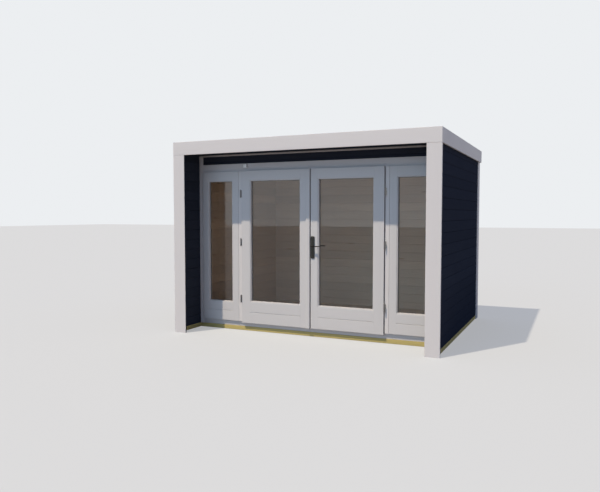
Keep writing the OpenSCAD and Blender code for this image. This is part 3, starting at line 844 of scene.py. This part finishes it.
def panel(name, node, body, pane, lap_t, plug_x, plug_z):
    """Leaf or sash of stiles and rails. plug_x and plug_z are the ends of its inner part."""
    low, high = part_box(node)
    pane_low, pane_high = pane
    y0, y1, y2 = low.y, low.y + lap_t, high.y
    sunk = y1 - 2 * FINE_EDGE
    x0, x1 = pane_low.x, pane_high.x
    z0, z1 = pane_low.z, pane_high.z
    outer, fine, g = SOFT_EDGE, FINE_EDGE, RAIL_GROOVE
    joint, gap = RAIL_JOINT_Z, RAIL_GAP
    piece = Piece(name)
    piece.bar((low.x, y0, low.z), (x0, y1, high.z), Z, (outer, fine, fine, outer))
    piece.bar((plug_x[0], sunk, plug_z[0]), (x0, y2, plug_z[1]), Z, (fine, fine, fine, outer))
    piece.bar((x1, y0, low.z), (high.x, y1, high.z), Z, (fine, outer, outer, fine))
    piece.bar((x1, sunk, plug_z[0]), (plug_x[1], y2, plug_z[1]), Z, (fine, fine, outer, fine))
    piece.bar((x0, y0, z1), (x1, y1, high.z), X, (fine, fine, outer, outer), end_cut=0)
    piece.bar((x0, sunk, z1), (x1, y2, plug_z[1]), X, fine, end_cut=0)
    piece.bar((x0, y0, low.z), (x1, y1, joint - gap), X, (outer, outer, fine, g), end_cut=0)
    piece.bar((x0, y0, joint + gap), (x1, y1, z0), X, (g, fine, fine, fine), end_cut=0)
    piece.bar((x0, sunk, plug_z[0]), (x1, y2, joint), X, (fine, fine, g, fine), end_cut=0)
    piece.bar((x0, sunk, joint), (x1, y2, z0), X, (fine, g, fine, fine), end_cut=0)
    piece.finish(body, "pale_paint", [joinery_shaded_paint], node)


def bead_profile(y_edge, y_glass):
    """Bead between its free edge and the glass: a nose, a slightly round bevel and a flat back."""
    lean = 1 if y_glass > y_edge else -1
    bevel = []
    for i in range(BEAD_STEPS + 1):
        share = i / BEAD_STEPS
        bulge = BEAD_BULGE * math.sin(math.pi * share)
        bevel.append((lerp(BEAD_NOSE, BEAD_FOOT, share) + bulge,
                      lerp(y_edge, y_glass, share) - lean * bulge))
    return [(0, y_edge)] + bevel + [(0, y_glass)]


def beads(piece, pane, y_face, y_inner):
    """Outer and inner beads of one pane, with a thin dark seal at the glass."""
    low, high = pane
    hole = (low.x, high.x, low.z, high.z)
    piece.mitred(hole, bead_profile(y_face + BEAD_BACK, low.y))
    piece.mitred(hole, bead_profile(y_inner - BEAD_FACE, high.y))
    for glass_y, out in ((low.y, -1), (high.y, 1)):
        root, tip = BEAD_FOOT - SEAL_W, BEAD_FOOT + SEAL_W
        y = glass_y + out * SEAL_T
        piece.mitred(hole, [(root, glass_y), (tip, glass_y), (tip - SEAL_T, y), (root, y)], slot=1)


def glass_unit(panes_piece, spacer_piece, pane):
    """Sealed double glazing as one clear block, with the spacer bar inside its edge."""
    low, high = pane
    edge, width = PANE_EDGE, SPACER_W
    panes_piece.bar((low.x + edge, low.y, low.z + edge), (high.x - edge, high.y, high.z - edge),
                    Z, edge, edge)
    y0, y1 = low.y + PANE_T, high.y - PANE_T
    spacer_piece.mitred((low.x, high.x, low.z, high.z),
                        [(edge, y0), (width - edge, y0), (width, y0 + edge),
                         (width, y1 - edge), (width - edge, y1), (edge, y1)])


def opening_heights(gap):
    """Lower and upper end of what fits with a gap between the sill and the frame head."""
    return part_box("frame_sill")[1].z + gap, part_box("frame_head")[0].z - gap


def windows():
    mullions = solids("frame_mullions")
    jambs = solids("frame_jambs")
    panes = solids("window_glass")
    openings = ((jambs[0][1].x, mullions[0][0].x), (mullions[1][1].x, jambs[1][0].x))
    sashes = ("left_window_sash", "right_window_sash")
    bead_piece = Piece("window_bead_sticks")
    pane_piece = Piece("window_panes")
    spacer_piece = Piece("window_spacers")
    for name, pane, opening in zip(sashes, panes, openings):
        plug_x = (opening[0] + SASH_FIT, opening[1] - SASH_FIT)
        panel(name + "_timber", name, "pod", pane, SASH_LAP, plug_x, opening_heights(SASH_FIT))
        low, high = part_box(name)
        beads(bead_piece, pane, low.y, high.y)
        glass_unit(pane_piece, spacer_piece, pane)
    bead_piece.finish("pod", "pale_paint", [joinery_shaded_paint, seal_rubber], "window_beads")
    pane_piece.finish("pod", "glass", [glass], "window_glass")
    spacer_piece.finish("pod", "hinge_steel", [spacer_metal])


def leaves():
    mullions = solids("frame_mullions")
    for side in ("left", "right"):
        node, body = side + "_leaf", side + "_door"
        low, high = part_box(node)
        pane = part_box(node + "_glass")
        plug_x = (max(low.x, mullions[0][1].x + PLUG_GAP), min(high.x, mullions[1][0].x - PLUG_GAP))
        panel(node + "_timber", node, body, pane, LEAF_LAP, plug_x, opening_heights(PLUG_GAP))
        bead_piece = Piece(node + "_bead_sticks")
        beads(bead_piece, pane, low.y, high.y)
        bead_piece.finish(body, "pale_paint", [joinery_shaded_paint, seal_rubber], node + "_beads")
        pane_piece = Piece(node + "_panes")
        spacer_piece = Piece(node + "_spacer")
        glass_unit(pane_piece, spacer_piece, pane)
        pane_piece.finish(body, "glass", [glass], node + "_glass")
        spacer_piece.finish(body, "hinge_steel", [spacer_metal])
    plain_bars("meeting_strip_timber", "meeting_strip", Z, joinery_shaded_paint, "pale_paint",
               (MEETING_BEVEL, MEETING_BEVEL, FINE_EDGE, FINE_EDGE), "left_door")


def screw(piece, x, y, z, out, radius=SCREW_R):
    """Low raised screw head on a face that looks along Y, with a black cross of painted shade where
    its recess would be. The black material is the second one of its piece."""
    head = [(out * SCREW_RISE * rise, radius * share) for rise, share in SCREW_HEAD]
    piece.turned((x, y, z), Y, head, sides=SMALL_SIDES)
    arm, half = radius * CROSS_ARM, radius * CROSS_HALF_W
    y0, y1 = sorted((y, y + out * CROSS_RISE))
    for along, half_x, half_z in ((X, arm, half), (Z, half, arm)):
        piece.bar((x - half_x, y0, z - half_z), (x + half_x, y1, z + half_z), along,
                  CROSS_EDGE, CROSS_EDGE, slot=1)


def knuckle(piece, x, y, bottom, top, cut):
    """Barrel round the pin, with a small cut at both ends."""
    height = top - bottom
    piece.turned((x, y, bottom), Z, [(0, KNUCKLE_R - cut), (cut, KNUCKLE_R),
                                     (height - cut, KNUCKLE_R), (height, KNUCKLE_R - cut)])


def frame_hinge(piece, low, high, plate_slot):
    """Half of a hinge on the frame: two knuckles, the pin with its caps, and a cranked plate."""
    side = 1 if low.x > 0 else -1
    x = low.x + KNUCKLE_R if side > 0 else high.x - KNUCKLE_R
    y = low.y + KNUCKLE_R
    third = (high.z - low.z) / 3
    z1, z2 = low.z + third - HINGE_GAP, high.z - third + HINGE_GAP
    knuckle(piece, x, y, low.z, z1, FRAME_KNUCKLE_CUT)
    knuckle(piece, x, y, z2, high.z, FRAME_KNUCKLE_CUT)
    piece.turned((x, y, low.z), Z, [(-place, radius) for place, radius in reversed(PIN_CAP)])
    piece.turned((x, y, high.z), Z, PIN_CAP)
    piece.turned((x, y, z1 - PIN_SEAT), Z, [(0, PIN_R), (z2 - z1 + 2 * PIN_SEAT, PIN_R)],
                 sides=SMALL_SIDES)
    x0, x1 = sorted((x, x + side * PLATE_T))
    clear = y + KNUCKLE_R + 2 * HINGE_GAP
    for start, bottom, top in ((y, low.z, z1), (clear, z1, z2), (y, z2, high.z)):
        piece.bar((x0, start, bottom), (x1, high.y, top), Z, METAL_EDGE, METAL_EDGE, plate_slot)
    x0, x1 = sorted((x, x + side * PLATE_W))
    plate_y = high.y - PLATE_T
    piece.pad((x0, plate_y, low.z), (x1, high.y, high.z), Y, PLATE_CORNER, PLATE_ROUND,
              slot=plate_slot)
    for share in PLATE_SCREW_SHARES:
        screw(piece, x + side * PLATE_SCREW_SET, plate_y, lerp(low.z, high.z, share), -1)


def leaf_hinge(piece, low, high, plate_slot):
    """Half of a hinge on a leaf: the middle knuckle and a cranked plate."""
    side = 1 if low.x > 0 else -1
    leaf_x = low.x if side > 0 else high.x
    x = high.x - KNUCKLE_R if side > 0 else low.x + KNUCKLE_R
    y = low.y + KNUCKLE_R
    knuckle(piece, x, y, low.z, high.z, LEAF_KNUCKLE_CUT)
    x0, x1 = sorted((leaf_x, x))
    plate_y = y + KNUCKLE_R - PLATE_T
    piece.bar((x0, plate_y, low.z), (x1, plate_y + PLATE_T, high.z), Z,
              METAL_EDGE, METAL_EDGE, plate_slot)
    x0, x1 = sorted((leaf_x, leaf_x + side * PLATE_T))
    piece.bar((x0, plate_y, low.z), (x1, high.y, high.z), Z, METAL_EDGE, METAL_EDGE, plate_slot)


def hinges():
    fixed = Piece("frame_hinge_halves")
    for low, high in solids("frame_hinges"):
        frame_hinge(fixed, low, high, plate_slot=2)
    fixed.finish("pod", "hinge_steel", [hinge_steel, painted_shade_black, plate_zinc], "frame_hinges")
    for side in ("left", "right"):
        node = side + "_leaf_hinges"
        moving = Piece(node + "_halves")
        for low, high in solids(node):
            leaf_hinge(moving, low, high, plate_slot=1)
        moving.finish(side + "_door", "hinge_steel", [hinge_steel, plate_zinc], node)


def outwards(profile, out):
    """A profile of places and radii that grows outwards from a face."""
    return [(out * place, radius) for place, radius in profile]


def raised(piece, x, heights, half_w, face, rise, corner, slot=0):
    """Small plate with round corners that stands out from a face that looks along Y."""
    y0, y1 = sorted((face, face + rise))
    piece.pad((x - half_w, y0, heights[0]), (x + half_w, y1, heights[1]), Y, corner, slot=slot)


def handle_plate(piece, low, high, out, pivot_x, pivot_z):
    """Long plate on one face of the leaf, with a rose, a lock cylinder and two screws."""
    face = low.y if out < 0 else high.y
    round_low, round_high = (HANDLE_ROUND, 0) if out < 0 else (0, HANDLE_ROUND)
    piece.pad(low, high, Y, HANDLE_CORNER, round_low, round_high)
    piece.turned((pivot_x, face, pivot_z), Y, outwards(ROSE, out))
    key_z = pivot_z - CYLINDER_DROP
    piece.turned((pivot_x, face, key_z), Y, outwards(CYLINDER, out))
    raised(piece, pivot_x, (key_z - TAIL_FOOT, key_z - TAIL_TOP), TAIL_HALF_W, face,
           out * CYLINDER_RISE, TAIL_CORNER)
    # The keyway is a thin black plate of painted shade where the slot would be.
    raised(piece, pivot_x, (key_z - KEY_HALF_H, key_z + KEY_HALF_H), KEY_HALF_W, face,
           out * KEY_RISE, KEY_CORNER, slot=1)
    for z in (high.z - HANDLE_SCREW_SET, low.z + HANDLE_SCREW_SET):
        screw(piece, pivot_x, face, z, out, HANDLE_SCREW_R)


def grip_ring(x, y, z, half_t, half_h):
    """Cross-section of the lever's grip: a circle drawn towards a square."""
    ring = []
    for k in range(SMALL_SIDES):
        turn = 2 * math.pi * k / SMALL_SIDES
        c, s = math.cos(turn), math.sin(turn)
        ring.append((x, y + half_t * math.copysign(abs(c) ** LEVER_SQUARE, c),
                     z + half_h * math.copysign(abs(s) ** LEVER_SQUARE, s)))
    return ring


def grip(piece, x0, x1, y, z, out):
    """Bar of the lever between two places, which thins, bows slightly and has round ends."""
    rings = []
    for i in range(LEVER_STATIONS + 1):
        share = i / LEVER_STATIONS
        past = max(0.0, LEVER_END - min(share, 1 - share))
        size = math.sqrt(1 - (past / LEVER_END_R) ** 2)
        half_t = lerp(LEVER_T / 2, LEVER_T * LEVER_TIP_T, share) * size
        half_h = lerp(LEVER_H / 2, LEVER_H * LEVER_TIP_H, share) * size
        bow = out * LEVER_BOW * share * share
        rings.append(grip_ring(lerp(x0, x1, share), y - bow, z, half_t, half_h))
    piece.loft(rings, X)


def neck_profile(reach):
    """Neck of the lever from the middle of its grip to just past the face of the plate."""
    return ([(LEVER_T * place, NECK_R * share) for place, share in NECK_IN_GRIP] +
            [(reach * place, NECK_R * share) for place, share in NECK_TO_PLATE])


def lever(low, high, pivot_x, pivot_z, outer_face, inner_face):
    """Lever on both sides of the leaf, with the spindle between them."""
    piece = Piece("lever_pair")
    for start, face, out in ((low.y, outer_face, -1), (high.y, inner_face, 1)):
        middle = start - out * LEVER_T / 2
        neck = outwards(neck_profile(abs(face - middle)), -out)
        piece.turned((pivot_x, middle, pivot_z), Y, neck)
        grip(piece, pivot_x - NECK_R, high.x, middle, pivot_z, out)
    spindle = [(0, NECK_R), (inner_face - outer_face, NECK_R)]
    piece.turned((pivot_x, outer_face, pivot_z), Y, spindle)
    piece.finish("lever", "dark_metal", [lever_metal], "lever_handle")


def handle():
    low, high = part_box("lever_handle")
    pivot_x = low.x + NECK_R
    pivot_z = (low.z + high.z) / 2
    outer, inner = sorted(solids("handle_plates"), key=lambda box: box[0].y)
    plates = Piece("handle_plate_pair")
    handle_plate(plates, *outer, -1, pivot_x, pivot_z)
    handle_plate(plates, *inner, 1, pivot_x, pivot_z)
    plates.finish("right_door", "dark_metal", [dark_metal, painted_shade_black], "handle_plates")
    lever(low, high, pivot_x, pivot_z, outer[0].y, inner[1].y)


def head_block():
    """Small case on the frame head, on a flat foot."""
    low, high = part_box("head_block")
    inset = BLOCK_INSET
    foot_y = high.y - BLOCK_FOOT
    piece = Piece("head_block_case")
    piece.pad((low.x, foot_y, low.z), high, Y, BLOCK_CORNER, TRIM_EDGE)
    piece.pad((low.x + inset, low.y, low.z + inset), (high.x - inset, foot_y, high.z - inset),
              Y, BLOCK_CORNER, BLOCK_ROUND)
    piece.finish("pod", "pale_plastic", [block_plastic], "head_block")


def pale_floor():
    """Floor that takes the object's shadow, with a plain pale glow in what the camera sees."""
    n = material_nodes("floor_pale")
    seen = n.add("LightPath").outputs["Is Camera Ray"]
    lit = n.add("BsdfDiffuse", {"Color": n.mix(seen, FLOOR_LIGHT, FLOOR_SEEN)})
    pale = n.add("Emission", {"Color": FLOOR_PALE})
    material = n.surface(n.mix_shaders(n.math("MULTIPLY", seen, FLOOR_SHARE), lit, pale))
    half = FLOOR_SIZE / 2
    data = bpy.data.meshes.new("pale_floor")
    data.from_pydata([(-half, -half, 0), (half, -half, 0), (half, half, 0), (-half, half, 0)], [],
                     [(0, 1, 2, 3)])
    data.materials.append(material)
    ground = new_object("pale_floor", data)
    ground.location.z = -FLOOR_DROP


def pale_sky():
    """Cool sky, which the camera and glossy surfaces see as a pale backdrop."""
    n = Nodes(bpy.data.worlds.new("pale_sky"))
    path = n.add("LightPath")
    seen = n.math("MAXIMUM", path.outputs["Is Camera Ray"], path.outputs["Is Glossy Ray"])
    sky = n.add("Background", {"Color": n.mix(seen, SKY_LIGHT, SKY_SEEN)})
    bpy.context.scene.world = n.surface(sky.outputs[0], "OutputWorld")


def lamp(name, travel, power, spread, colour, mirrored):
    """Lamp with even light, as from far away. mirrored says whether it shows in gloss."""
    light = bpy.data.lights.new(name, "SUN")
    light.energy = power
    light.angle = math.radians(spread)
    light.color = colour
    holder = new_object(name, light)
    holder.rotation_euler = Vector(travel).to_track_quat("-Z", "Y").to_euler()
    holder.visible_glossy = mirrored


def camera():
    lens = bpy.data.cameras.new("camera")
    lens.lens = CAMERA_LENS
    lens.clip_end = CAMERA_REACH
    holder = new_object("camera", lens)
    holder.location = CAMERA_PLACE
    holder.rotation_euler = [math.radians(angle) for angle in CAMERA_TURN]
    bpy.context.scene.camera = holder


bpy.context.scene.view_settings.view_transform = "Standard"
camera()
pale_floor()
pale_sky()
lamp("sun", SUN_TRAVEL, SUN_POWER, SUN_SPREAD, SUN_COLOUR, mirrored=True)
lamp("soft_fill", FILL_TRAVEL, FILL_POWER, FILL_SPREAD, FILL_COLOUR, mirrored=False)

foundation()
floor()
walls()
roof()
roof_cover()
fascias()
front_posts()
back_corners()
corner_strips()
door_frame()
windows()
leaves()
hinges()
handle()
head_block()
